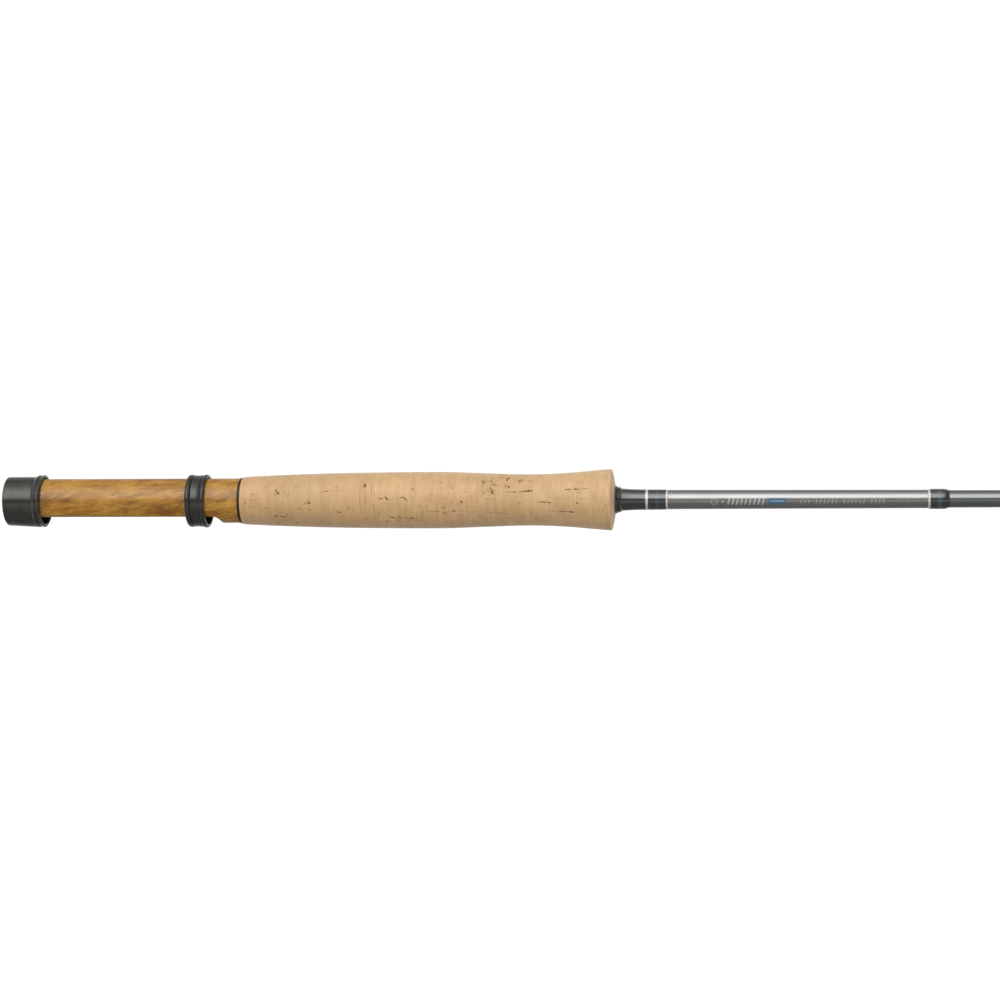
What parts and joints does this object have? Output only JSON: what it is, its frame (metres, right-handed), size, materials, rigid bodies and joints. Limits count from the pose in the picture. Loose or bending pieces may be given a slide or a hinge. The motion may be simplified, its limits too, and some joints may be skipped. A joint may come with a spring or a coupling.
{
  "type": "fly rod butt section",
  "caption": "Fly rod butt section: slide-ring reel seat with a wooden insert, turned cork grip, wrapped graphite blank, stripping guide and spigot ferrule.",
  "frame": {"origin": "centre of the butt cap's flat end face", "axes": "+X along the rod from the butt cap towards the tip, -Z towards the side that carries the reel and the guide"},
  "size_m": [0.624, 0.024, 0.0255],
  "materials": {
    "anodised": "dark gunmetal anodised, turned",
    "seat_wood": "streaky golden-brown wood, satin lacquer",
    "cork": "sanded natural cork with small pits",
    "arbor": "rigid foam bush",
    "check": "smooth black",
    "graphite": "greenish dark grey, clear coated",
    "gunmetal_lacquer": "metallic gunmetal under clear gloss",
    "black_thread": "black thread under clear epoxy",
    "silver_thread": "metallic silver thread under clear epoxy",
    "blue_thread": "blue thread under clear epoxy",
    "guide_steel": "polished dark steel",
    "guide_ceramic": "polished black ceramic"
  },
  "bodies": {
    "rod": {"butt_cap": "anodised", "seat_insert": "seat_wood", "cork_ring_01": "cork", "cork_ring_02": "cork", "cork_ring_03": "cork", "cork_ring_04": "cork", "cork_ring_05": "cork", "cork_ring_06": "cork", "cork_ring_07": "cork", "cork_ring_08": "cork", "cork_ring_09": "cork", "cork_ring_10": "cork", "cork_ring_11": "cork", "seat_arbor_1": "arbor", "seat_arbor_2": "arbor", "seat_arbor_3": "arbor", "seat_check": "check", "winding_check": "check", "blank": "graphite", "ferrule_spigot": "graphite", "lacquered_sleeve": "gunmetal_lacquer", "grip_wrap_rear": "black_thread", "grip_wrap_middle": "black_thread", "grip_wrap_front": "black_thread", "mid_wrap_rear": "black_thread", "mid_wrap_front": "black_thread", "ferrule_wrap": "black_thread", "guide_wrap_front": "black_thread", "guide_wrap_rear": "black_thread", "grip_trim_silver_rear": "silver_thread", "grip_trim_silver_front": "silver_thread", "mid_trim_silver": "silver_thread", "ferrule_trim_silver": "silver_thread", "guide_trim_front": "silver_thread", "guide_trim_rear": "silver_thread", "grip_trim_blue": "blue_thread", "mid_trim_blue": "blue_thread", "guide_frame": "guide_steel", "guide_ring": "guide_ceramic"},
    "ring": {"slide_ring": "anodised"}
  },
  "joints": [
    {"name": "ring_slide", "type": "slide", "parent": "rod", "child": "ring", "axis": [1, 0, 0], "range_m": [-0.0592, 0.0125]}
  ]
}
